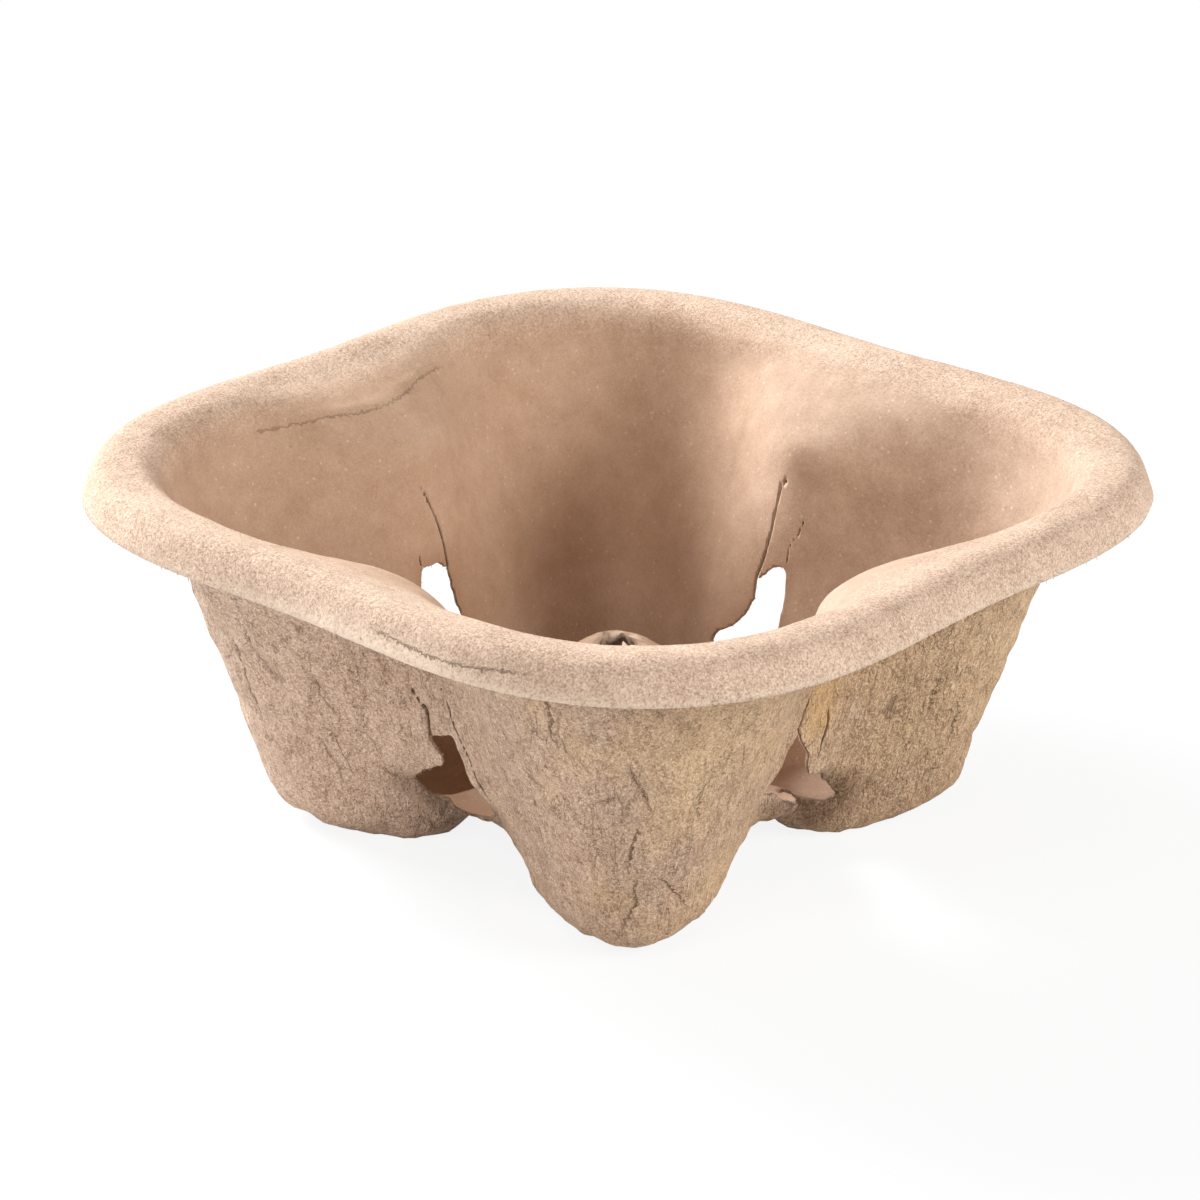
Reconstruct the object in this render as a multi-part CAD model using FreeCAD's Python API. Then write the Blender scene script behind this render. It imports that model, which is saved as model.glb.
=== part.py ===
import FreeCAD, Part
import math
import os
from FreeCAD import Vector

# Moulded pulp carrier for four cups, one piece, a thin shell of even thickness.
# Origin under the middle of the tray, at the level its four feet stand on, +Z up.
# The four cup pockets point to the corners, the sides run along X and Y.

# Driving sizes in millimetres.
height = 93.0
wall = 2.0
corner_reach = 128.0
side_reach = 108.5
lip_drop = 9.0
flange_width = 14.0
side_flange_width = 14.5

# Outer wall of a pocket, in the plane through the pocket's axis.
foot_reach = 80.6
wall_lean = 0.326
floor_outer = 71.5
floor_inner = 41.0

# Ridge between two pockets, in the plane through the middle of a side.
shelf_reach = 83.0
shelf_drop = 5.6
crest_reach = 66.5
crest_drop = 17.5
nose_foot = 55.0
nose_lean = 0.135
saddle_height = 16.0

# Post in the middle, open at its top.
post_height = 45.0
post_hole = 4.5

# Torn openings in the noses of the ridges. Each ridge has its bearing, the outline of its window and the
# lines of its slits, as sideways and height seen from outside. The tongue between the slits hangs over the window.
slit_width = 1.1
nose_near = 50.0
nose_far = 80.0
torn_ridges = (
    (0,
     [(-6.5, 42.3), (-4.5, 39.7), (0.8, 32.5), (0.4, 28.8), (2.3, 26.5), (8.5, 23.7), (11.8, 20.9), (14.5, 18.2),
      (8.5, 17.8), (3.3, 18.8), (-5.4, 22.4), (-14.0, 27.0), (-9.9, 30.6), (-7.8, 36.6)],
     [(-6.3, 41.5), (-5.9, 46.5), (-4.6, 51.0)],
     [(0.6, 31.0), (3.0, 38.0), (3.6, 45.0)]),
    (90,
     [(6.3, 39.3), (2.0, 43.7), (-1.7, 45.0), (-3.2, 44.0), (-3.3, 36.4), (-2.3, 27.1), (-2.5, 22.0), (1.0, 19.5),
      (8.0, 18.8), (14.0, 19.5), (17.5, 21.5), (13.2, 25.3), (8.0, 30.3), (6.8, 33.5)],
     [(6.2, 39.0), (3.4, 53.3), (2.6, 65.3), (-1.2, 67.6)],
     [(-2.6, 43.5), (-3.1, 51.1), (-5.8, 57.6)]),
    (180,
     [(5.5, 43.1), (3.1, 46.6), (-0.8, 46.5), (-5.1, 40.5), (-6.0, 34.1), (-9.5, 22.0), (-6.0, 19.2), (0.0, 18.8),
      (6.0, 19.5), (9.0, 22.5), (6.4, 36.0)],
     [(-4.0, 41.0), (-3.3, 52.1), (-1.0, 60.1), (1.7, 66.2)],
     [(4.4, 43.5), (5.2, 49.0), (5.6, 53.0)]),
    (270,
     [(-4.6, 36.3), (0.4, 39.3), (3.8, 40.7), (6.2, 31.5), (7.9, 27.3), (12.0, 20.5), (3.0, 18.2), (-8.0, 18.2),
      (-12.0, 18.8), (-14.7, 22.1), (-9.5, 26.0), (-1.1, 31.0)],
     [(12.3, 25.3), (9.9, 30.7), (8.0, 38.4), (5.5, 43.4), (2.3, 53.6)],
     [(-3.6, 36.5), (-2.9, 41.5), (-7.5, 50.4)]),
)

# How far the under skin dips below the ground level before the feet are cut flat.
foot_flat = 0.35


def rings():
    """Rows from the lip's edge inwards: reach and height at a corner, reach and height at a side, fullness.

    A ring's reach at angle a from a corner is
    side + (corner - side) * (1 + cos 4a) / 2 + fullness * (cos 8a - 1).
    """
    top = height
    rows = [
        (corner_reach, top - lip_drop, side_reach, top - lip_drop, 0.0),
        (corner_reach - 1.4, top - 5.0, side_reach - 1.4, top - 5.0, 0.0),
        (corner_reach - 3.4, top - 1.5, side_reach - 3.4, top - 1.5, 0.0),
        (corner_reach - 6.6, top, side_reach - 6.6, top - 0.1, 0.0),
        (corner_reach - 10.5, top, side_reach - 10.5, top - 0.5, 0.0),
        (corner_reach - flange_width, top - 0.7, side_reach - side_flange_width, top - 2.0, 0.0),
    ]
    # Down the wall at a corner, down the shelf and over the crest at a side.
    shelf_z = top - shelf_drop
    crest_z = top - crest_drop
    for corner_z, side_r, side_z, full in (
        (top - 4.5, side_reach - 20.0, top - 3.6, -0.1),
        (top - 10.0, shelf_reach, shelf_z, -0.6),
        (top - 15.0, shelf_reach - 6.5, shelf_z - 3.1, -1.2),
        (top - 20.0, crest_reach + 4.5, crest_z + 4.8, -1.5),
        (top - 25.0, crest_reach, crest_z, -1.5),
        (top - 31.0, nose_foot + nose_lean * 67 + 0.6, 67.0, -0.8),
        (54.0, nose_foot + nose_lean * 57, 57.0, 0.2),
        (44.0, nose_foot + nose_lean * 47, 47.0, 1.6),
        (34.0, nose_foot + nose_lean * 37, 37.0, 3.0),
        (24.0, nose_foot + nose_lean * 28, 28.0, 4.3),
        (15.0, nose_foot + 2.2, saddle_height + 5.0, 5.2),
        (8.5, nose_foot - 0.2, saddle_height + 1.4, 5.6),
    ):
        rows.append((foot_reach + wall_lean * corner_z, corner_z, side_r, side_z, full))
    # Round into the pocket's floor, across it and up the post; over the saddle at a side.
    floor_z = wall - foot_flat
    rows += [
        (foot_reach - 1.9, floor_z + 2.1, nose_foot - 3.6, saddle_height + 0.2, 5.6),
        (floor_outer, floor_z, nose_foot - 7.0, saddle_height, 4.6),
        (floor_outer - 8.0, floor_z, nose_foot - 10.5, saddle_height, 2.4),
        (0.5 * (floor_outer + floor_inner), floor_z, nose_foot - 14.0, saddle_height, 0.0),
        (floor_inner + 8.0, floor_z, nose_foot - 17.5, saddle_height + 0.2, -2.2),
        (floor_inner, floor_z, nose_foot - 21.0, saddle_height + 0.8, -3.6),
        (floor_inner - 5.0, floor_z + 2.0, nose_foot - 24.8, saddle_height + 2.4, -3.8),
        (floor_inner - 9.0, 8.5, nose_foot - 28.6, saddle_height + 5.6, -3.2),
        (floor_inner - 12.4, 16.5, nose_foot - 32.4, saddle_height + 10.2, -2.3),
        (floor_inner - 16.0, 25.0, nose_foot - 36.0, saddle_height + 15.4, -1.4),
        (floor_inner - 20.0, 33.0, nose_foot - 39.4, saddle_height + 20.4, -0.7),
        (floor_inner - 24.6, post_height - 5.6, nose_foot - 42.6, post_height - 4.6, -0.2),
        (floor_inner - 29.8, post_height - 1.6, nose_foot - 45.6, post_height - 1.2, 0.0),
        (post_hole + 3.0, post_height, post_hole + 2.4, post_height, 0.0),
        (post_hole, post_height - 0.4, post_hole, post_height - 0.4, 0.0),
    ]
    return rows


def skin_point(row, angle):
    """Point of a ring on the top skin, angle in degrees from the first corner's plane."""
    corner_r, corner_z, side_r, side_z, full = row
    a = math.radians(angle)
    share = 0.5 * (1 + math.cos(4 * a))
    reach = side_r + (corner_r - side_r) * share + full * (math.cos(8 * a) - 1)
    step = min(max((share - 0.10) / 0.52, 0.0), 1.0)
    step = step * step * (3 - 2 * step)
    z = side_z + (corner_z - side_z) * step
    turn = a + math.pi / 4
    return Vector(reach * math.cos(turn), reach * math.sin(turn), z)


def quarter_skin(below):
    """A quarter of the top skin, or of the skin a wall's thickness below it, corner to corner over one pocket."""
    spread = 60.0
    step = 2.5
    count = int(2 * spread / step) + 1
    angles = [-spread + step * i for i in range(count)]
    rows = rings()
    top = [[skin_point(row, a) for a in angles] for row in rows]
    skin = top
    if below:
        skin = []
        for i, line in enumerate(top):
            lowered = []
            for j, point in enumerate(line):
                across = top[min(i + 1, len(top) - 1)][j] - top[max(i - 1, 0)][j]
                along = skin_point(rows[i], angles[j] + 0.5) - skin_point(rows[i], angles[j] - 0.5)
                normal = along.cross(across)
                normal.normalize()
                lowered.append(point - normal * wall)
            skin.append(lowered)
    surface = Part.BSplineSurface()
    surface.interpolate(skin)
    start, end, first, last = surface.bounds()
    edges = [surface.parameter(skin[8][j])[1] for j in (6, count - 7)]
    surface.segment(start, end, edges[0], edges[1])
    return surface


def turned(shape, degrees):
    """Copy of a shape turned about the tray's axis."""
    copy = shape.copy()
    copy.rotate(Vector(0, 0, 0), Vector(0, 0, 1), degrees)
    return copy


def shell():
    """The closed pulp shell, before its openings are cut."""
    upper = quarter_skin(False)
    under = quarter_skin(True)
    lip = Part.makeRuledSurface(upper.uIso(upper.bounds()[0]).toShape(), under.uIso(under.bounds()[0]).toShape())
    hole = Part.makeRuledSurface(upper.uIso(upper.bounds()[1]).toShape(), under.uIso(under.bounds()[1]).toShape())
    quarter = [upper.toShape(), under.toShape(), lip, hole]
    faces = [turned(face, 90 * k) for k in range(4) for face in quarter]
    sewn = Part.makeShell(faces)
    sewn.sewShape(0.02)
    solid = Part.Solid(sewn.Shells[0] if sewn.Shells else sewn)
    if solid.Volume < 0:
        solid.reverse()
    return solid


def prism(outline):
    """Bar through the nose on the +X side, with the given outline as seen from outside."""
    points = [Vector(nose_near, y, z) for y, z in outline]
    face = Part.Face(Part.makePolygon(points + points[:1]))
    return face.extrude(Vector(nose_far - nose_near, 0, 0))


def slit_outline(line):
    """Outline of a slit of even width along a line that goes mostly up."""
    half = slit_width / 2
    sides = []
    for i, (y, z) in enumerate(line):
        y0, z0 = line[max(i - 1, 0)]
        y1, z1 = line[min(i + 1, len(line) - 1)]
        long = math.hypot(y1 - y0, z1 - z0)
        sides.append(((z1 - z0) / long * half, (y0 - y1) / long * half))
    right = [(y + dy, z + dz) for (y, z), (dy, dz) in zip(line, sides)]
    left = [(y - dy, z - dz) for (y, z), (dy, dz) in zip(line, sides)]
    return right + left[::-1]


def ridge_cutters():
    """Windows and slits of the four ridges."""
    cutters = []
    for bearing, window, first_slit, second_slit in torn_ridges:
        for outline in (window, slit_outline(first_slit), slit_outline(second_slit)):
            cutters.append(turned(prism(outline), bearing))
    return cutters


def pulp_tray():
    """The carrier: shell with ridge openings, feet cut flat at ground level."""
    body = shell()
    body = body.cut(ridge_cutters())
    ground = Part.makeBox(2 * corner_reach, 2 * corner_reach, 10.0, Vector(-corner_reach, -corner_reach, -10.0))
    body = body.cut(ground)
    return body


os.makedirs("parts", exist_ok=True)
tray = pulp_tray()
solids = tray.Solids
print("solids", len(solids), "valid", tray.isValid(), "volume", round(tray.Volume, 1))
box = tray.BoundBox
print("box", [round(v, 2) for v in (box.XMin, box.XMax, box.YMin, box.YMax, box.ZMin, box.ZMax)])
flat = [f for f in solids[0].Faces if abs(f.BoundBox.ZMax) < 1e-4 and f.BoundBox.ZLength < 1e-4]
print("foot faces", [(round(f.Area, 1), round(f.CenterOfMass.x, 1), round(f.CenterOfMass.y, 1)) for f in flat])
solids[0].exportStep("parts/pulp_tray.step")
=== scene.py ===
import math
import bpy
import numpy as np
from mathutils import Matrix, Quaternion, Vector


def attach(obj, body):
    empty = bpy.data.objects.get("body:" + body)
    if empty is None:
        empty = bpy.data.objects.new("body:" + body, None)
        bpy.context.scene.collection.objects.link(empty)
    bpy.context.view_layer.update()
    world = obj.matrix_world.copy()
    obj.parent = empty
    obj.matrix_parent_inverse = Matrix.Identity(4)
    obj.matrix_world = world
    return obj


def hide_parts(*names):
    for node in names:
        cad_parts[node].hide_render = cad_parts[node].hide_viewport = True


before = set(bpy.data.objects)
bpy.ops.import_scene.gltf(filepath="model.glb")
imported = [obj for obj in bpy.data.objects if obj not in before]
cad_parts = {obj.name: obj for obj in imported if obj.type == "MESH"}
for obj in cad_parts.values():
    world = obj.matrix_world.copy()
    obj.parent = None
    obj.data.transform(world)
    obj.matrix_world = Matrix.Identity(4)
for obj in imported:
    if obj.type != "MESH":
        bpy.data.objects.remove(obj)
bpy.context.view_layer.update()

# The view: a long lens, nearly along the diagonal through two opposite pockets and a little from above.
eye = Vector((0.59567, -0.67587, 0.43846))
aim = Vector((0.00568, -0.01284, 0.05996))
camera = bpy.data.objects.new("camera", bpy.data.cameras.new("camera"))
camera.data.lens = 121.2
camera.data.sensor_width = 36.0
camera.data.clip_start = 0.01
camera.location = eye
camera.rotation_mode = "QUATERNION"
lean = Quaternion((0, 0, 1), math.radians(0.686))
camera.rotation_quaternion = (aim - eye).to_track_quat("-Z", "Y") @ lean
bpy.context.scene.collection.objects.link(camera)
bpy.context.scene.camera = camera
bpy.context.scene.view_settings.view_transform = "Standard"


# The light: three square soft lamps with white cloth, the strongest low on the left and a little behind the
# tray, so that it leaves a dark band in the far pocket. A weaker one stands on the right and one in front.
def soft_lamp(name, bearing, rise, distance, side, watts, tint):
    """A square lamp that faces the tray: bearing and rise in degrees, distance and side length in metres."""
    turn, up = math.radians(bearing), math.radians(rise)
    tray_middle = Vector((0.0, 0.0, 0.05))
    away = Vector((math.cos(up) * math.cos(turn), math.cos(up) * math.sin(turn), math.sin(up)))
    lamp = bpy.data.objects.new(name, bpy.data.lights.new(name, "AREA"))
    lamp.data.shape = "SQUARE"
    lamp.data.size = side
    lamp.data.energy = watts
    lamp.data.color = tint
    lamp.location = tray_middle + away * distance
    lamp.rotation_euler = (-away).to_track_quat("-Z", "Y").to_euler()
    bpy.context.scene.collection.objects.link(lamp)


soft_lamp("left_lamp", -174.0, 32.0, 1.6, 0.75, 58.0, (0.90, 0.955, 1.0))
soft_lamp("right_lamp", 22.0, 27.0, 1.6, 0.75, 22.5, (0.94, 0.98, 1.0))
soft_lamp("front_lamp", -84.0, 34.0, 1.8, 0.9, 13.5, (0.97, 0.99, 1.0))


# The floor: a wide sheet of white paint a hair below the feet. It keeps the tray's shadow near by and is plain
# white further off. Its under side lets a look from below through, so that the feet can be seen.
class Tone:
    """A socket of a material's nodes. Arithmetic with another socket or a number adds Math nodes."""

    def __init__(self, tree, socket=None):
        self.tree, self.socket = tree, socket

    def node(self, kind, settings=None, sockets=None, out=0):
        """One node of a kind: its settings first, then the values or links of its sockets. Gives one output."""
        made = self.tree.nodes.new("ShaderNode" + kind)
        for name, value in (settings or {}).items():
            setattr(made, name, value)
        for name, value in (sockets or {}).items():
            if isinstance(value, Tone):
                self.tree.links.new(value.socket, made.inputs[name])
            else:
                made.inputs[name].default_value = value
        return Tone(self.tree, made.outputs[out] if len(made.outputs) else None)

    def math(self, operation, first, second=0.0):
        """A Math node of two numbers or sockets."""
        return self.node("Math", {"operation": operation}, {0: first, 1: second})

    def __add__(self, other):
        return self.math("ADD", self, other)

    def __radd__(self, other):
        return self.math("ADD", other, self)

    def __sub__(self, other):
        return self.math("SUBTRACT", self, other)

    def __rsub__(self, other):
        return self.math("SUBTRACT", other, self)

    def __mul__(self, other):
        return self.math("MULTIPLY", self, other)

    def __rmul__(self, other):
        return self.math("MULTIPLY", other, self)

    def __abs__(self):
        return self.math("ABSOLUTE", self)

    def ramp(self, low, high):
        """0 below low, 1 above high, smooth between them."""
        return self.node("MapRange", {"interpolation_type": "SMOOTHSTEP"},
                         {"Value": self, "From Min": low, "From Max": high})

    def blend(self, other, share):
        """This colour where share is 0, the other where it is 1."""
        return self.node("Mix", {"data_type": "RGBA"}, {0: share, 6: self, 7: other}, 2)

    def seen_or_mirrored(self):
        """1 for rays from the camera, off glossy surfaces and through clear ones, otherwise 0."""
        seen, mirrored, through = (self.node("LightPath", out=ray) for ray in (
            "Is Camera Ray", "Is Glossy Ray", "Is Transmission Ray"))
        return self.math("MAXIMUM", self.math("MAXIMUM", seen, mirrored), through)


def bare_material(name):
    """A new material with no nodes, and the Tone that adds nodes to it."""
    material = bpy.data.materials.new(name)
    material.use_nodes = True
    material.node_tree.nodes.clear()
    return material, Tone(material.node_tree)


white_light = {"Color": (1.0, 1.0, 1.0, 1.0), "Strength": 1.0}
floor_paint, paint = bare_material("floor_paint")
matt_white = paint.node("BsdfDiffuse", sockets={"Color": (0.86, 0.86, 0.86, 1.0)})
plain_white = paint.node("Emission", sockets=white_light)
on_floor = paint.node("TexCoord", out="Object")
from_middle = paint.node("VectorMath", {"operation": "LENGTH"}, {0: on_floor}, "Value")
shadow_share, shadow_start, shadow_end = 0.13, 0.22, 0.60
far_out = from_middle.ramp(shadow_start, shadow_end)
whiteness = paint.seen_or_mirrored() * ((1 - shadow_share) + shadow_share * far_out)
top_side = paint.node("MixShader", sockets={0: whiteness, 1: matt_white, 2: plain_white})
seen_from_below = paint.node("NewGeometry", out="Backfacing") * paint.node("LightPath", out="Is Camera Ray")
clear = paint.node("BsdfTransparent")
both_sides = paint.node("MixShader", sockets={0: seen_from_below, 1: top_side, 2: clear})
paint.node("OutputMaterial", sockets={"Surface": both_sides})

floor_half, floor_level = 3.0, -0.0003
floor_mesh = bpy.data.meshes.new("floor")
floor_mesh.from_pydata([(x * floor_half, y * floor_half, floor_level)
                        for x, y in ((-1, -1), (1, -1), (1, 1), (-1, 1))], [], [(0, 1, 2, 3)])
floor = bpy.data.objects.new("floor", floor_mesh)
floor.data.materials.append(floor_paint)
bpy.context.scene.collection.objects.link(floor)

# The room around: plain white where it is seen, and a dim warm fill for everything else.
world = bpy.data.worlds.new("room")
world.use_nodes = True
world.node_tree.nodes.clear()
air = Tone(world.node_tree)
warm_fill = air.node("Background", sockets={"Color": (1.0, 0.90, 0.78, 1.0), "Strength": 0.13})
white_room = air.node("Background", sockets=white_light)
room_light = air.node("MixShader", sockets={0: air.seen_or_mirrored(), 1: warm_fill, 2: white_room})
air.node("OutputWorld", sockets={"Surface": room_light})
bpy.context.scene.world = world

# The tray: one sheet of moulded recycled paper pulp, 2 mm thick, sucked on to a mould and dried. The top side is
# smooth from the mould, the under side rough and cracked. The four ridges between the pockets are slit and torn.
height, wall = 93.0, 2.0
corner_reach, side_reach = 128.0, 108.5
foot_reach, wall_lean = 80.6, 0.326
shelf_reach, shelf_height = 83.0, 87.4
crest_reach, crest_height = 66.5, 75.5
nose_foot, nose_lean, saddle_height = 55.0, 0.135, 16.0
floor_outer, floor_inner, floor_height = 71.5, 41.0, 1.65
post_height, post_hole = 43.4, 4.2

# The rings that the skin runs through, from the lip's edge inwards: reach and height at a corner, reach and
# height at the middle of a side, and the fullness between them. First the lip and the flange.
flange_rings = [
    (corner_reach - back, height - down, side_reach - side_back, height - side_down, 0.0)
    for back, down, side_back, side_down in (
        (0.0, 9.0, 0.0, 9.0), (1.4, 5.0, 1.4, 5.0), (3.4, 1.5, 3.4, 1.5),
        (6.6, 0.0, 6.6, 0.1), (10.5, 0.0, 10.5, 0.5), (14.0, 0.7, 14.5, 2.0))]
# Down a pocket's leaning wall at a corner, and down the shelf, over the crest and down the nose at a side.
wall_rings = [
    (foot_reach + wall_lean * up, up, reach, side_up, fullness)
    for up, reach, side_up, fullness in (
        (88.5, side_reach - 20.0, shelf_height + 2.0, -0.1), (83.0, shelf_reach, shelf_height, -0.6),
        (78.0, shelf_reach - 6.5, shelf_height - 3.1, -1.2), (73.0, crest_reach + 4.5, crest_height + 4.8, -1.5),
        (68.0, crest_reach, crest_height, -1.5), (62.0, nose_foot + nose_lean * 67.0 + 0.6, 67.0, -0.8),
        (54.0, nose_foot + nose_lean * 57.0, 57.0, 0.2), (44.0, nose_foot + nose_lean * 47.0, 47.0, 1.6),
        (34.0, nose_foot + nose_lean * 37.0, 37.0, 3.0), (24.0, nose_foot + nose_lean * 28.0, 28.0, 4.3),
        (15.0, nose_foot + 2.2, saddle_height + 5.0, 5.2), (8.5, nose_foot - 0.2, saddle_height + 1.4, 5.6))]
# Across the pocket's floor and up the post at a corner, and over the saddle and up the post at a side.
middle_rings = [
    (foot_reach - 1.9, floor_height + 2.1, nose_foot - 3.6, saddle_height + 0.2, 5.6),
    (floor_outer, floor_height, nose_foot - 7.0, saddle_height, 4.6),
    (floor_outer - 8.0, floor_height, nose_foot - 10.5, saddle_height, 2.4),
    (0.5 * (floor_outer + floor_inner), floor_height, nose_foot - 14.0, saddle_height, 0.0),
    (floor_inner + 8.0, floor_height, nose_foot - 17.5, saddle_height + 0.2, -2.2),
    (floor_inner, floor_height, nose_foot - 21.0, saddle_height + 0.8, -3.6),
    (floor_inner - 5.0, floor_height + 2.0, nose_foot - 24.8, saddle_height + 2.4, -3.8),
    (floor_inner - 9.0, 8.5, nose_foot - 28.6, saddle_height + 5.6, -3.2),
    (floor_inner - 12.4, 16.5, nose_foot - 32.4, saddle_height + 10.2, -2.3),
    (floor_inner - 16.0, 25.0, nose_foot - 36.0, saddle_height + 15.4, -1.4),
    (floor_inner - 20.4, post_height - 11.0, nose_foot - 39.8, post_height - 7.6, -0.7),
    (floor_inner - 25.4, post_height - 5.2, nose_foot - 43.2, post_height - 4.2, -0.2),
    (floor_inner - 30.8, post_height - 1.6, nose_foot - 46.2, post_height - 1.2, 0.0),
    (post_hole + 2.4, post_height, post_hole + 2.0, post_height, 0.0),
    (post_hole, post_height - 0.2, post_hole, post_height - 0.2, 0.0)]
ring_rows = np.array(flange_rings + wall_rings + middle_rings)
flange_ring, floor_ring = 5, 19


def smooth_step(t):
    """3t^2 - 2t^3, which rises from 0 to 1 and is level at both ends."""
    return t * t * (3 - 2 * t)


def ring_points(rows, angles):
    """Points of rings at angles in degrees from a corner: reach = side + (corner - side)(1 + cos 4a)/2 +
    fullness (cos 8a - 1), and the height goes smoothly from the side's to the corner's."""
    corner_r, corner_z, side_r, side_z, full = (rows[:, k, None] for k in range(5))
    a = np.radians(angles)[None, :]
    share = 0.5 * (1 + np.cos(4 * a))
    reach = side_r + (corner_r - side_r) * share + full * (np.cos(8 * a) - 1)
    step = smooth_step(np.clip((share - 0.10) / 0.52, 0, 1))
    turn = a + math.pi / 4
    return np.stack([reach * np.cos(turn), reach * np.sin(turn), side_z + (corner_z - side_z) * step], -1)


every_ring = ring_points(ring_rows, np.arange(0.0, 360.0, 2.5))
ring_gap = np.linalg.norm(every_ring[1:] - every_ring[:-1], axis=-1).mean(1)
ring_at = np.concatenate([[0.0], np.cumsum(ring_gap)])


def along_rings(levels, angles):
    """The skin between the rings, at levels in mm along it from the lip's edge: p times this ring + q times the
    next + ((p^3 - p) times this ring's bend + (q^3 - q) times the next one's) gap^2 / 6, where q goes from 0 to 1
    across the gap and p = 1 - q. The bends make the slope run on smoothly at every ring, with none at the ends."""
    points = ring_points(ring_rows, angles)
    count = len(points)
    system = np.zeros((count, count))
    system[0, 0] = system[-1, -1] = 1.0
    inner = np.arange(1, count - 1)
    system[inner, inner - 1] = ring_gap[:-1]
    system[inner, inner] = 2 * (ring_gap[:-1] + ring_gap[1:])
    system[inner, inner + 1] = ring_gap[1:]
    slope = (points[1:] - points[:-1]) / ring_gap[:, None, None]
    right = np.zeros_like(points)
    right[1:-1] = 6 * (slope[1:] - slope[:-1])
    bend = np.linalg.solve(system, right.reshape(count, -1)).reshape(points.shape)
    i = np.clip(np.searchsorted(ring_at, levels, "right") - 1, 0, count - 2)
    g = ring_gap[i][:, None, None]
    q = ((levels - ring_at[i]) / ring_gap[i])[:, None, None]
    p = 1 - q
    return p * points[i] + q * points[i + 1] + ((p ** 3 - p) * bend[i] + (q ** 3 - q) * bend[i + 1]) * g * g / 6


def unit(vectors):
    """Vectors of length 1 in the same directions."""
    return vectors / np.linalg.norm(vectors, axis=-1, keepdims=True)


def skin_and_normal(levels, angles):
    """The top skin and the direction square to it, which points up out of the tray: the cross product of a
    small step round the ring and a small step inwards."""
    around = along_rings(levels, angles + 0.2) - along_rings(levels, angles - 0.2)
    inward = (along_rings(np.minimum(levels + 0.3, ring_at[-1]), angles)
              - along_rings(np.maximum(levels - 0.3, 0), angles))
    return along_rings(levels, angles), unit(np.cross(around, inward))


# The columns lie 1.75 times as close within 13 degrees of a ridge as elsewhere. The rows are 1.3 mm apart or
# less down to the pocket floors, where they are wider and only every second column goes on.
quarter_columns, wall_steps, floor_steps, row_gap = 120, 62, 29, 1.3
quarter_turn = np.linspace(0, 90, 3601)
crowding = 1.0 + 0.75 / (1 + np.exp((np.abs(quarter_turn - 45) - 13.0) / 1.6))
crowd = np.concatenate([[0], np.cumsum(0.5 * (crowding[1:] + crowding[:-1]))])
quarter = np.interp(np.arange(quarter_columns) / quarter_columns * crowd[-1], crowd, quarter_turn)
columns = np.concatenate([quarter + 90 * k for k in range(4)])
fine_levels = np.concatenate([np.arange(0, ring_at[flange_ring], row_gap),
                              np.linspace(ring_at[flange_ring], ring_at[floor_ring], wall_steps)])
coarse_levels = np.linspace(ring_at[floor_ring], ring_at[-1], floor_steps)[1:]
fine_top, fine_normal = skin_and_normal(fine_levels, columns)
coarse_top, coarse_normal = skin_and_normal(coarse_levels, columns[::2])
top = np.concatenate([fine_top.reshape(-1, 3), coarse_top.reshape(-1, 3)])
normal = np.concatenate([fine_normal.reshape(-1, 3), coarse_normal.reshape(-1, 3)])
wide, narrow = len(columns), len(columns) // 2
level = np.concatenate([np.repeat(fine_levels, wide), np.repeat(coarse_levels, narrow)])
bearing = np.degrees(np.arctan2(top[:, 1], top[:, 0]))


def skin_triangles():
    """Two triangles for each cell of the fine rows, with the diagonal turned every other cell, three for each
    pair of cells where the columns halve, and two for each cell of the coarse rows."""
    column = np.arange(wide)
    row = np.arange(len(fine_levels) - 1)[:, None]
    a, b = row * wide + column, row * wide + (column + 1) % wide
    c, d = a + wide, b + wide
    turned = ((column + row) % 2 == 0)[..., None]
    one = np.where(turned, np.stack([a, b, d], -1), np.stack([a, b, c], -1))
    two = np.where(turned, np.stack([a, d, c], -1), np.stack([b, d, c], -1))
    last = (len(fine_levels) - 1) * wide
    half = np.arange(narrow)
    e0, e1, e2 = last + 2 * half, last + 2 * half + 1, last + (2 * half + 2) % wide
    n0, n1 = last + wide + half, last + wide + (half + 1) % narrow
    start = last + wide + np.arange(len(coarse_levels) - 1)[:, None] * narrow
    f, g = start + half, start + (half + 1) % narrow
    parts = (one, two, np.stack([e0, e1, n0], -1), np.stack([e1, n1, n0], -1), np.stack([e1, e2, n1], -1),
             np.stack([f, g, g + narrow], -1), np.stack([f, g + narrow, f + narrow], -1))
    return np.concatenate([part.reshape(-1, 3) for part in parts])


def lumps(points, size, seed):
    """Smooth random relief from -1 to 1: random heights at the corners of cubes, blended by 3t^2 - 2t^3."""
    table = np.random.default_rng(seed).uniform(-1, 1, (32, 32, 32))
    cell = points / size
    base = np.floor(cell).astype(int)
    part = smooth_step(cell - base)
    total = np.zeros(points.shape[:-1])
    for corner in np.ndindex(2, 2, 2):
        weight = np.prod(np.where(np.array(corner) == 1, part, 1 - part), axis=-1)
        i, j, k = np.moveaxis((base + np.array(corner)) % 32, -1, 0)
        total += weight * table[i, j, k]
    return total


def bell(distance, width):
    """exp(-(distance / width)^2): 1 at 0, and nearly 0 beyond two widths."""
    return np.exp(-(distance / width) ** 2)


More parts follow.
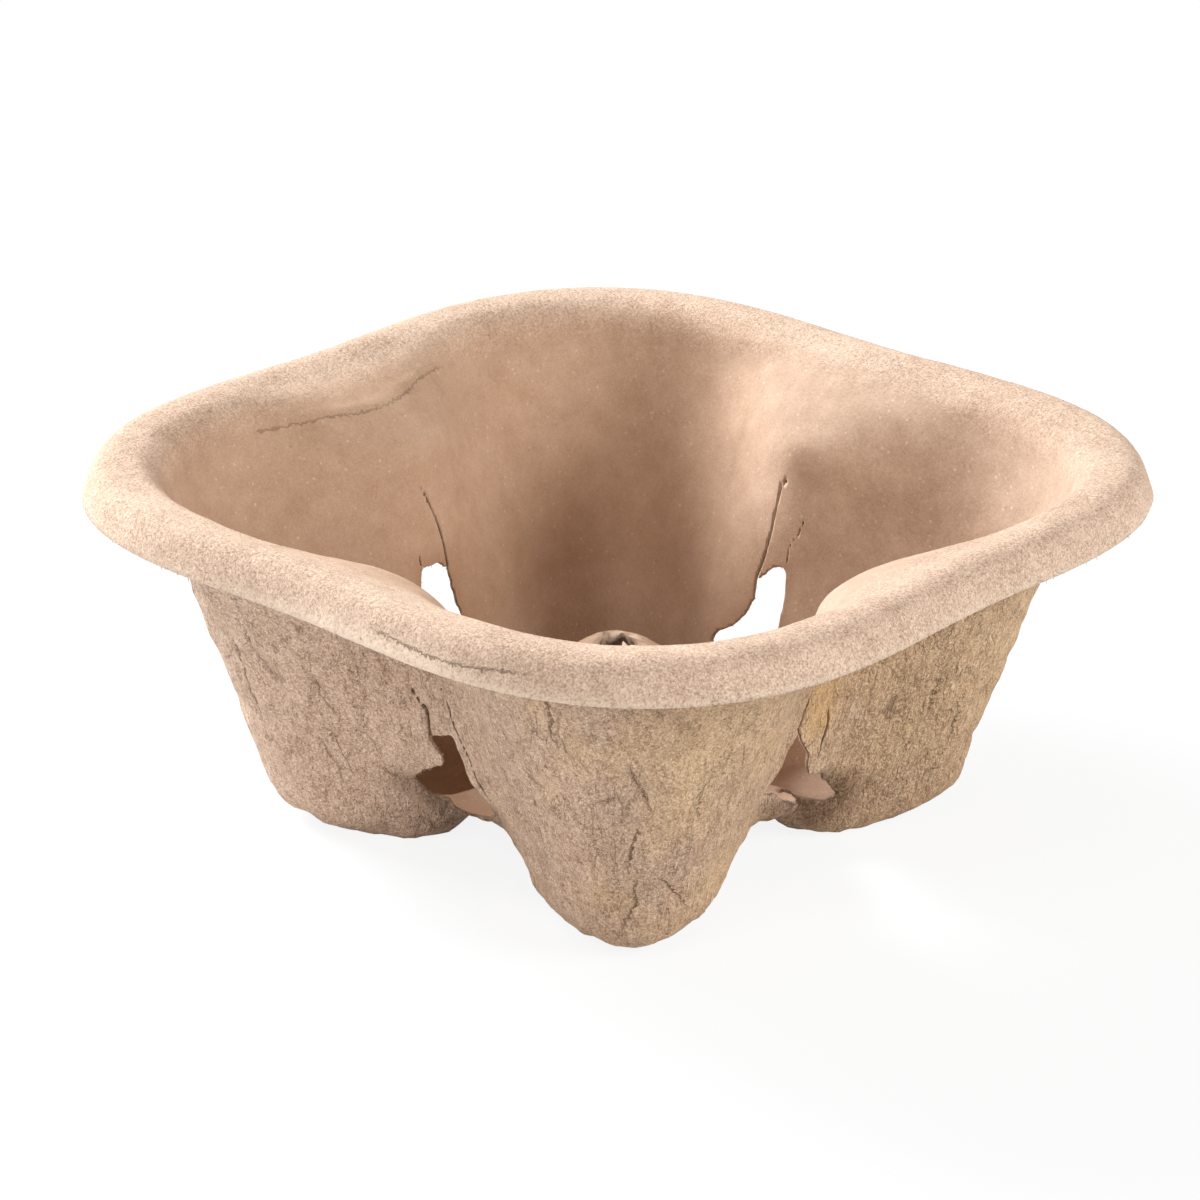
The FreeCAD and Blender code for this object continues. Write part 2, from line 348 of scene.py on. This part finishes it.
# Each ridge, seen from outside the tray: its bearing, the outline of its torn window, and its two slits with
# their half widths. Sideways and up, in mm on the ridge's nose.
torn_ridges = (
    (0.0,
     [(-6.5, 42.3), (-4.5, 39.7), (0.8, 32.5), (0.4, 28.8), (2.3, 26.5), (8.5, 23.7), (11.8, 20.9), (16.0, 18.0),
      (19.5, 13.4), (18.0, 11.4), (15.0, 12.0), (12.0, 13.4), (8.5, 15.2), (3.3, 17.0), (-5.4, 21.6), (-10.0, 25.2),
      (-14.0, 27.0), (-9.9, 30.6), (-7.8, 36.6), (-5.8, 40.3)],
     ([(-6.2, 42.0), (-5.9, 46.5), (-4.6, 51.0)], 0.35),
     ([(3.4, 31.0), (4.2, 38.0), (3.6, 45.0)], 0.3)),
    (90.0,
     [(6.3, 39.3), (4.6, 41.1), (2.0, 43.7), (-1.7, 45.0), (-3.2, 44.0), (-3.3, 36.4), (-2.3, 27.1), (-2.5, 22.0),
      (1.0, 19.5), (8.0, 18.8), (14.0, 19.5), (17.5, 21.5), (16.2, 23.4), (13.2, 25.3), (10.3, 27.2), (8.0, 30.3),
      (6.8, 33.5)],
     ([(-1.5, 67.8), (0.6, 67.0), (2.5, 65.3), (2.8, 60.0), (3.4, 53.3), (4.3, 48.3), (6.2, 40.5)], 0.5),
     ([(-5.8, 57.6), (-5.0, 54.2), (-3.1, 51.1), (-2.7, 46.1)], 0.28)),
    (180.0,
     [(5.5, 43.1), (4.4, 46.2), (3.1, 46.6), (-0.8, 46.5), (-3.4, 44.5), (-5.1, 40.5), (-6.0, 34.1), (-8.2, 27.0),
      (-9.5, 22.0), (-6.0, 19.2), (0.0, 18.8), (6.0, 19.5), (9.0, 22.5), (7.6, 29.0), (6.4, 36.0)],
     ([(1.7, 66.2), (-1.0, 60.1), (-2.5, 55.5), (-3.3, 52.1), (-4.2, 44.2)], 0.42),
     ([(5.6, 52.0), (5.2, 49.0), (4.6, 45.8)], 0.16)),
    (270.0,
     [(-4.6, 36.3), (-2.4, 37.8), (0.4, 39.3), (3.8, 40.7), (5.1, 35.8), (6.2, 31.5), (7.9, 27.3), (10.8, 24.0),
      (12.0, 20.0), (8.0, 17.2), (3.0, 16.9), (-3.0, 17.0), (-8.0, 16.6), (-12.0, 17.2), (-14.7, 22.1),
      (-9.5, 26.0), (-4.3, 28.8), (-1.1, 31.0), (-1.7, 33.5)],
     ([(2.3, 53.6), (4.9, 48.8), (5.5, 43.4), (8.0, 38.4), (9.5, 35.1), (9.9, 30.7), (12.3, 25.3)], 0.35),
     ([(-7.5, 50.4), (-3.2, 45.9), (-2.9, 41.5), (-3.9, 37.2)], 0.45)),
)


def to_line(side, up, path):
    """Distance in mm from points to a path of straight runs: the least distance to the nearest spot of a run."""
    spots = np.stack([side, up], -1)[:, None, :]
    start, end = np.array(path[:-1]), np.array(path[1:])
    run = end - start
    share = np.clip(((spots - start) * run).sum(-1) / (run * run).sum(-1), 0, 1)
    return np.linalg.norm(spots - start - share[..., None] * run, axis=-1).min(1)


def inside(side, up, outline):
    """True where a point lies in an outline: a level ray from it crosses the outline an odd number of times."""
    (y0, z0), (y1, z1) = np.array(outline).T[:, None, :], np.roll(np.array(outline), -1, 0).T[:, None, :]
    y, z = side[:, None], up[:, None]
    crosses = (z0 > z) != (z1 > z)
    where = y0 + (z - z0) * (y1 - y0) / np.where(z1 == z0, 1e-9, z1 - z0)
    return (crosses & (y < where)).sum(1) % 2 == 1


# Distance of every point from the nearest torn edge (torn) and from the nearest window (worn), less than 0 inside
# one. Only the ridges' noses, 46 to 80 mm from the middle, have any. A slit's walls keep their thickness, while
# a window's edge is thin.
far_off = 30.0
nose_near, nose_far, nose_half = 46, 80, 30
torn = np.full(len(top), far_off)
worn = np.full(len(top), far_off)
for ridge, window, *slits in torn_ridges:
    t = math.radians(ridge)
    out = top[:, 0] * math.cos(t) + top[:, 1] * math.sin(t)
    side = -top[:, 0] * math.sin(t) + top[:, 1] * math.cos(t)
    on_nose = (out > nose_near) & (out < nose_far) & (np.abs(side) < nose_half)
    near = np.flatnonzero(on_nose & (level < ring_at[floor_ring + 1]))
    y, z = side[near], top[near, 2]
    ragged = 0.45 * lumps(top[near], 2.3, 11) + 0.25 * lumps(top[near], 1.1, 12)
    reach = to_line(y, z, window + window[:1])
    reach = np.where(inside(y, z, window), -reach, reach) + ragged
    worn[near] = reach
    for path, half_width in slits:
        reach = np.minimum(reach, to_line(y, z, path) - half_width + 0.25 * ragged)
    torn[near] = reach


def beside(path, mean_reach=92.0):
    """Distance in mm from the points to a path of bearings and levels, less than 0 on its left, and a taper
    that falls from 1 to 0.25 at the path's ends."""
    turn = path[0][0]
    spots = np.stack([np.radians((bearing - turn + 180) % 360 - 180) * mean_reach, level], -1)[:, None, :]
    line = np.array([(math.radians(b - turn) * mean_reach, l) for b, l in path])
    start, run = line[:-1], line[1:] - line[:-1]
    size = np.linalg.norm(run, axis=-1)
    share = np.clip(((spots - start) * run).sum(-1) / size ** 2, 0, 1)
    gap = spots - start - share[..., None] * run
    far = np.linalg.norm(gap, axis=-1)
    best = np.argmin(far, 1)
    row = np.arange(len(best))
    gone = np.concatenate([[0], np.cumsum(size)])
    spot = gone[best] + share[row, best] * size[best]
    side = np.sign(gap[row, best, 0] * run[best, 1] - gap[row, best, 1] * run[best, 0])
    return far[row, best] * side, np.clip(np.minimum(spot, gone[-1] - spot) / 2.5 + 0.25, 0, 1)


# Folds pressed into the shelves of the ridges, as bearing and level along them, with their height and half width.
folds = (
    ([(-150, 25), (-157, 29), (-165, 33), (-172.5, 34.5), (-180, 34), (-188, 33), (-198.5, 30), (-207, 27)],
     0.75, 0.9),
    ([(114, 24), (109.5, 25.2), (101, 26), (92.5, 25.5), (84, 27)], 0.75, 1.6),
    ([(4, 33), (-2, 35), (-10.5, 33), (-17, 26), (-22.5, 17)], -0.45, 2.0),
    ([(-66, 31), (-78, 34), (-90, 35), (-103, 33), (-112, 29)], 0.30, 1.8),
)
fold_height = np.zeros(len(top))
for path, tall, half_width in folds:
    gap, taper = beside(path)
    fold_height += tall * taper * bell(gap, half_width)

# Cracks, as the skin they are in (0 top, 1 under), depth, and bearing and level along them. The first is in the
# lip's roll and the second on a shelf; the others run down the rough walls.
cracks = (
    (0, 0.8, [(-77, 4.3), (-72, 3.6), (-68, 3.1), (-63.5, 3.6), (-61, 4.4), (-58, 5.0)]),
    (0, 0.45, [(-158, 30.5), (-165, 34.5), (-172.5, 36), (-180, 35.6), (-188, 34.6), (-198.5, 31.6)]),
    (1, 0.9, [(-57.4, 38), (-57, 41), (-56.3, 46.5), (-56.7, 53), (-55.5, 58.5)]),
    (1, 0.7, [(-59.5, 47), (-59, 53), (-59.8, 60)]),
    (1, 0.9, [(-46.8, 60), (-46.3, 64), (-45.3, 67.5), (-44, 74.5)]),
    (1, 1.0, [(-45.2, 79), (-45.6, 82), (-46.1, 86.5), (-46.5, 92.5)]),
    (1, 1.0, [(-45.0, 95), (-45.6, 99), (-45.2, 103.5), (-46.2, 107), (-47, 111)]),
    (1, 1.0, [(-42.2, 96), (-41.3, 98), (-40, 101.5), (-38, 106)]),
    (1, 0.7, [(-51.5, 84), (-50.6, 89), (-51.2, 96)]),
    (1, 0.6, [(-37.2, 70), (-37.8, 76), (-36.9, 82)]),
    (1, 0.6, [(-33.5, 58), (-34.2, 65)]),
    (1, 0.9, [(24, 72.5), (25.7, 76), (26, 79.5), (27, 85.5)]),
    (1, 1.0, [(31, 84.5), (32.6, 87), (33, 90.5), (34, 95.5)]),
    (1, 0.8, [(-124, 66), (-124.6, 72), (-126, 81.5), (-126.5, 90.5)]),
    (1, 0.7, [(-119.5, 58), (-120.4, 66), (-119.8, 74)]),
    (1, 0.8, [(-129.8, 50), (-130.5, 58), (-129.9, 66), (-130.8, 75)]),
    (1, 0.6, [(-113, 70), (-113.8, 77), (-113, 84)]),
    (1, 0.8, [(-31.8, 0.3), (-31, 1.0), (-30.4, 3.0)]),
    (1, 0.9, [(136, 60), (135.2, 70), (136.1, 82)]), (1, 0.8, [(128, 80), (128.8, 90), (127.9, 99)]),
    (1, 0.9, [(52, 66), (51.1, 75), (52.2, 86)]), (1, 0.7, [(146, 72), (145.1, 80), (145.9, 90)]),
    (1, 0.8, [(-144, 70), (-145, 79), (-144.2, 91)]), (1, 0.7, [(60, 85), (60.8, 93), (60.1, 100)]),
)
crack_gap = np.full((2, len(top)), 9.0)
crack_depth = np.zeros((2, len(top)))
for skin_side, deep, path in cracks:
    gap, taper = beside(path)
    closer = np.abs(gap) < np.abs(crack_gap[skin_side])
    crack_gap[skin_side] = np.where(closer, gap, crack_gap[skin_side])
    crack_depth[skin_side] = np.where(closer, deep * taper * (np.abs(gap) < 3.0), crack_depth[skin_side])

# Relief: the top skin is gently uneven, the under skin lumpy, with creases that run mostly down the walls.
flank = np.clip((level - ring_at[flange_ring]) / 12.0, 0, 1)
upright = np.stack([np.radians(bearing) * 95.0, top[:, 2] * 0.34, level * 0.0], -1)
crease = lumps(upright, 4.6, 21) + 0.22 * lumps(top, 3.0, 22)
creased = np.clip(-0.25 + 1.6 * lumps(top, 8.0, 23), 0, 1) * flank
rough = 0.34 * lumps(top, 11.0, 24) + 0.42 * lumps(top, 5.2, 25) + 0.30 * lumps(top, 2.9, 26)
rough = (rough + 0.24 * lumps(upright, 2.6, 30)) * (0.2 + 0.8 * flank) * (1 + 0.45 * np.exp(-top[:, 2] / 16.0))
rough = rough - 0.5 * creased * bell(crease, 0.16) - 0.8 * crack_depth[1] * bell(crack_gap[1], 0.8)
smooth = 0.16 * lumps(top, 14.0, 27) + 0.10 * lumps(top, 6.0, 28) + 0.05 * lumps(top, 2.6, 29)
smooth = smooth - 0.5 * crack_depth[0] * bell(crack_gap[0], 0.7)

# Where it is worn: thin and brown at the windows, pale at the lip and at the hole in the post, whose edge stands
# up in tatters, and stained yellow at one spot beside the right-hand ridge.
fray = np.exp(-np.maximum(worn, 0) / 2.0)
near_crack = bell(bearing + 78, 22.0)
lip = (0.4 + 0.6 * near_crack) * np.exp(-level / (1.0 + 1.4 * near_crack))
hole = np.clip((level - ring_at[-2] + 1.2) / (ring_at[-1] - ring_at[-2] + 1.2), 0, 1)
lip = np.maximum(lip, 0.9 * hole)
from_stain = np.stack([np.radians((bearing - 0.5 + 180) % 360 - 180) * 75, (level - 74) * 0.62], -1)
stain = np.exp(-(from_stain ** 2).sum(-1) / 60.0)

# The two skins, with the relief, folds and tatters, and the feet flat on the ground. Outside, the windows' lower
# edges get a dark brown that is partly the torn edge's own colour and partly painted shade of the rolled edge.
under = top - normal * (wall - 1.15 * fray - fold_height + rough * (1 - 0.6 * fray))[:, None]
under[:, 2] = np.maximum(under[:, 2], 0.0)
top = top + normal * (smooth + fold_height)[:, None]
lift = hole * (2.2 * lumps(top, 1.6, 31) + 0.1)
turn = np.radians(bearing)
top = top + lift[:, None] * np.stack([-np.cos(turn), -np.sin(turn), np.ones(len(turn))], -1)
under = under + lift[:, None] * np.array([0.0, 0.0, 1.0])
# Low at the windows outside: dark brown, partly the torn edge's own colour and partly painted shade.
torn_edge_brown_and_shade = np.clip((26.0 - top[:, 2]) / 5.0, 0, 1) * bell(np.maximum(worn, 0), 6.0)


def cut_at_zero(faces, field):
    """Keeps the part of a triangle mesh where the field is above 0: a triangle across the border is cut where
    the field is 0 on its edges. Gives the faces, and for each new point the two old ones and the share between."""
    above = field[faces] > 0
    number = above.sum(1)
    whole = faces[number == 3]
    lone = {}
    for kind, odd in ((1, above), (2, ~above)):
        pick = faces[number == kind]
        turn = np.argmax(odd[number == kind], 1)
        lone[kind] = np.take_along_axis(pick, (turn[:, None] + np.arange(3)) % 3, 1)
    pairs = np.concatenate([lone[k][:, [0, j]] for k in (1, 2) for j in (1, 2)])
    edges, index = np.unique(np.sort(pairs, 1), axis=0, return_inverse=True)
    index = index.reshape(-1) + len(field)
    one, two = len(lone[1]), len(lone[2])
    e1, e2 = index[:one], index[one:2 * one]
    f1, f2 = index[2 * one:2 * one + two], index[2 * one + two:]
    kept = [whole, np.stack([lone[1][:, 0], e1, e2], -1),
            np.stack([f1, lone[2][:, 1], lone[2][:, 2]], -1), np.stack([f1, lone[2][:, 2], f2], -1)]
    low, high = field[edges[:, 0]], field[edges[:, 1]]
    return np.concatenate(kept), edges, low / (low - high)


def between(values, edges, share):
    """Values of the points, with those of the new points on the cut edges after them."""
    share = share if values.ndim == 1 else share[:, None]
    return np.concatenate([values, values[edges[:, 0]] * (1 - share) + values[edges[:, 1]] * share])


faces, edges, share = cut_at_zero(skin_triangles(), torn)
top, under, crease, creased, fray, flank, lip, stain, torn_edge_brown_and_shade = (
    between(v, edges, share) for v in (top, under, crease, creased, fray, flank, lip, stain, torn_edge_brown_and_shade))
crack_gap, crack_depth = ([between(v, edges, share) for v in pair] for pair in (crack_gap, crack_depth))

# Both skins and the thin edge that joins them wherever the top skin ends.
ends = np.concatenate([faces[:, [0, 1]], faces[:, [1, 2]], faces[:, [2, 0]]])
_, where, count = np.unique(np.sort(ends, 1), axis=0, return_index=True, return_counts=True)
rim = ends[where[count == 1]]
total = len(top)
shell = np.concatenate([faces, faces[:, ::-1] + total,
                        np.stack([rim[:, 1], rim[:, 0], rim[:, 0] + total], -1),
                        np.stack([rim[:, 1], rim[:, 0] + total, rim[:, 1] + total], -1)])
used, shell = np.unique(shell, return_inverse=True)
shell = shell.reshape(-1, 3)
points = np.concatenate([top, under])[used]
none, full = np.zeros(total), np.ones(total)
marks = {name: np.concatenate(pair)[used] for name, pair in {
    "outer": (none, full), "crease": (crease, crease), "creased": (none, creased), "fray": (fray, fray),
    "flank": (flank, flank), "lip": (lip, lip), "stain": (none, stain), "torn_edge_brown_and_shade": (none, torn_edge_brown_and_shade),
    "crack_gap": crack_gap, "crack_depth": crack_depth}.items()}

# Loose fibres that stand out of the torn edges and the lip: thin hairs of three triangles of points, with one
# bend, from a random spot of the edge, away from the middle of the wall with some random turn.
torn_hairs, lip_hairs = 380, 420
torn_length, lip_length = 0.32, 0.40
hair_count = torn_hairs + lip_hairs
dice = np.random.default_rng(40)
frayed = rim[fray[rim[:, 0]] > 0.6]
lipped = rim[top[rim[:, 0], 2] > 70]
picked = np.concatenate([frayed[dice.integers(0, len(frayed), torn_hairs)],
                         lipped[dice.integers(0, len(lipped), lip_hairs)]])
from_lip = (np.arange(hair_count) >= torn_hairs)[:, None]
above, beneath, following = top[picked[:, 0]], under[picked[:, 0]], top[picked[:, 1]]
root = 0.5 * (above + beneath) + (above - beneath) * (dice.random((hair_count, 1)) - 0.5) * 0.8
across = -unit(np.cross(above - beneath, following - above))
stray = dice.normal(size=(hair_count, 3))
way = unit(across + 0.55 * stray)
size = np.where(from_lip, lip_length, torn_length) * (0.4 + dice.random((hair_count, 1)))
bent = unit(way + 0.6 * dice.normal(size=(hair_count, 3)))
spine = np.stack([root - 0.3 * way, root + size * way, root + size * (way + bent)], 1)
flat = unit(np.cross(way, stray))
third = np.cross(way, flat)
sides = np.stack([flat * math.cos(a) + third * math.sin(a) for a in (0, 2 * math.pi / 3, 4 * math.pi / 3)], 1)
girth = np.array([0.10, 0.075, 0.02])[None, :, None, None]
hair_points = (spine[:, :, None, :] + girth * sides[:, None, :, :]).reshape(hair_count, 9, 3)
hair_faces = np.array([(0, 2, 1), (6, 7, 8)] + [
    t for r in (0, 3) for k in range(3) for t in
    ((r + k, r + (k + 1) % 3, r + 3 + (k + 1) % 3), (r + k, r + 3 + (k + 1) % 3, r + 3 + k))])
first_points = len(points) + 9 * np.arange(hair_count)[:, None, None]
shell = np.concatenate([shell, (hair_faces[None] + first_points).reshape(-1, 3)])
points = np.concatenate([points, hair_points.reshape(-1, 3)])
points[:, 2] = np.maximum(points[:, 2], 0.0)
hair_marks = {"outer": 0.5, "fray": 1.0, "crack_gap": 9.0}
marks = {name: np.concatenate([v, np.full(9 * hair_count, hair_marks.get(name, 0.0))])
         for name, v in marks.items()}

tray_mesh = bpy.data.meshes.new("tray")
tray_mesh.vertices.add(len(points))
tray_mesh.vertices.foreach_set("co", (points * 0.001).astype(np.float32).ravel())
tray_mesh.loops.add(shell.size)
tray_mesh.loops.foreach_set("vertex_index", shell.astype(np.int32).ravel())
tray_mesh.polygons.add(len(shell))
tray_mesh.polygons.foreach_set("loop_start", np.arange(0, shell.size, 3, dtype=np.int32))
tray_mesh.polygons.foreach_set("use_smooth", np.ones(len(shell), dtype=bool))
tray_mesh.update(calc_edges=True)
for name, values in marks.items():
    tray_mesh.attributes.new(name, "FLOAT", "POINT").data.foreach_set("value", values.astype(np.float32))
tray = bpy.data.objects.new("tray", tray_mesh)
bpy.context.scene.collection.objects.link(tray)

# Its finish is dried pulp: brown paper fibres of mixed tone, matt, with small light and dark fibres and specks.
# The flange and the outside are coarse, the inside is felted smooth, and the outside is warmer on the right.
pulp, stuff = bare_material("pulp")
in_metres = stuff.node("TexCoord", out="Object")
place = stuff.node("VectorMath", {"operation": "SCALE"}, {0: in_metres, "Scale": 1000.0})


def plain(red, green, blue):
    """A colour as seen on a screen, 0 to 255, as the linear one that shaders use."""
    return tuple(v / 12.92 if v <= 0.04045 else ((v + 0.055) / 1.055) ** 2.4
                 for v in (red / 255, green / 255, blue / 255)) + (1.0,)


def vector(operation, with_vector, out=0):
    """A Vector Math node of the place in mm and a fixed vector."""
    return stuff.node("VectorMath", {"operation": operation}, {0: place, 1: with_vector}, out)


def mark(name):
    """One of the numbers that the mesh carries at its points."""
    return stuff.node("Attribute", {"attribute_name": name}, out="Fac")


def grain(per_mm, detail=2.0, roughness=0.5, where=place, distortion=0.0):
    """Soft noise from 0 to 1 with so many spots a mm."""
    return stuff.node("TexNoise", None, {"Vector": where, "Scale": per_mm, "Detail": detail,
                                         "Roughness": roughness, "Distortion": distortion})


def specks(where, per_mm, small, large):
    """1 in round specks about the seeds of a cell pattern, 0 beyond their edge."""
    cells = stuff.node("TexVoronoi", None, {"Vector": where, "Scale": per_mm})
    return 1 - cells.ramp(small, large)


def thread(noise, width):
    """1 along the thin curly line where a noise is one half, 0 away from it."""
    return 1 - abs(noise - 0.5).ramp(0.0, width)


def between_colours(share, low, high):
    """The first colour where share is 0, the second where it is 1."""
    return stuff.node("Mix", {"data_type": "RGBA"}, {0: share, 6: low, 7: high}, 2)


outer, on_flank, torn_edge = mark("outer"), mark("flank"), mark("fray")
tall = vector("MULTIPLY", (1.0, 1.0, 0.38))
cloud = grain(0.045, 2.0)
blotch = grain(0.16, 3.0, 0.6)
wrinkle = grain(0.42, 3.0, 0.62, where=tall, distortion=0.4)
felt = grain(0.95, 3.0, 0.65)
fine = grain(2.0, 2.0, 0.7)
dots = specks(place, 0.45, 0.10, 0.20) * grain(0.33, 1.0).ramp(0.45, 0.60)
pits = specks(tall, 0.52, 0.06, 0.15) * grain(0.21, 1.0).ramp(0.46, 0.58)
coarse = 0.30 + 0.70 * stuff.math("MAXIMUM", outer, 1 - on_flank)
light_fibre = thread(grain(0.42, 1.0, 0.5, distortion=0.6), 0.012) * grain(0.8, 1.0).ramp(0.50, 0.62)
elsewhere = vector("ADD", (41.0, 17.0, 9.0))
dark_fibre = thread(grain(0.55, 1.0, 0.5, elsewhere, 0.9), 0.010) * grain(0.9, 1.0).ramp(0.55, 0.68)
chink = outer * thread(wrinkle, 0.022) * grain(0.25, 1.0).ramp(0.48, 0.60)
creases = (1 - abs(mark("crease") + (felt - 0.5) * 0.25).ramp(0.015, 0.075)) * mark("creased")
splits = (1 - abs(mark("crack_gap") + (felt - 0.5) * 3.2).ramp(0.04, 0.36)) * mark("crack_depth")
cracked = stuff.math("MAXIMUM", creases * 0.7, splits)

tone = 0.5 + 0.35 * (cloud - 0.5) + 0.42 * (blotch - 0.5) + coarse * (0.9 * (felt - 0.5) + 1.75 * (fine - 0.5))
tone = tone + coarse * (0.26 * light_fibre - 0.22 * dark_fibre) - 0.24 * chink + outer * 0.35 * (wrinkle - 0.5)
tone = tone + 0.30 * dots - 0.20 * pits + 0.08 * (1 - on_flank)
warm = between_colours(tone, plain(138, 102, 70), plain(230, 196, 158))
rosy = between_colours(tone, plain(136, 102, 76), plain(229, 199, 176))
side_on = vector("DOT_PRODUCT", (0.0068, 0.0040, 0.0), "Value")
colour = rosy.blend(warm, 0.92 * outer * (side_on + 1.6 * (cloud - 0.5) + 0.26).ramp(0.0, 0.9))

# Over it: brown torn edges inside, pale stray fibres, the yellow stain, the windows' lower edges outside in a dark
# brown that is partly their own and partly painted shade, painted shade deeper down inside and, darker and
# yellower, inside the left half, and painted shade in the cracks and creases.
colour = colour.blend(plain(150, 102, 68), 0.55 * torn_edge * (1 - outer))
pale = (0.9 * mark("lip") + 0.12 * torn_edge * torn_edge) * felt.ramp(0.25, 0.5)
colour = colour.blend(plain(236, 214, 192), pale)
colour = colour.blend(plain(214, 164, 92), 0.7 * mark("stain") * felt.ramp(0.35, 0.62))
# Dark brown at the windows' lower edges outside: partly the torn edge's own colour, partly painted shade.
colour = colour.blend(plain(86, 58, 38), 0.8 * mark("torn_edge_brown_and_shade") * (0.45 + 0.55 * felt.ramp(0.40, 0.58)))
up = stuff.node("SeparateXYZ", None, {0: place}, "Z")
# Painted shade: a deeper brown the lower it lies inside, weaker on the floors and saddles.
painted_depth_shade = (1 - up.ramp(5.0, 86.0)) * (0.35 + 0.65 * up.ramp(16.0, 32.0))
colour = colour.blend(plain(118, 82, 54), (1 - outer) * 0.42 * painted_depth_shade)
# Painted shade: a darker, yellower brown on the inside walls of the left half.
colour = colour.blend(plain(166, 121, 80), 0.27 * (1 - outer) * on_flank * (1 - side_on.ramp(-0.1, 0.5)))
# Painted shade in the cracks and creases.
colour = colour.blend(plain(92, 62, 42), 0.72 * cracked)

bump = coarse * (0.26 * felt + 0.20 * fine + 0.06 * light_fibre)
bump = bump + outer * (0.8 * grain(0.30, 3.0, 0.6) + 2.3 * wrinkle) - 0.30 * cracked - 0.22 * chink
relief = stuff.node("Bump", None, {"Height": bump, "Distance": 0.001, "Strength": 1.0})
paper = stuff.node("BsdfPrincipled", None, {"Base Color": colour, "Roughness": 0.86 + 0.2 * (felt - 0.5),
                                            "Normal": relief, "Specular IOR Level": 0.25})
stuff.node("OutputMaterial", sockets={"Surface": paper})
tray.data.materials.append(pulp)

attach(tray, "root")
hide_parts("pulp_tray")
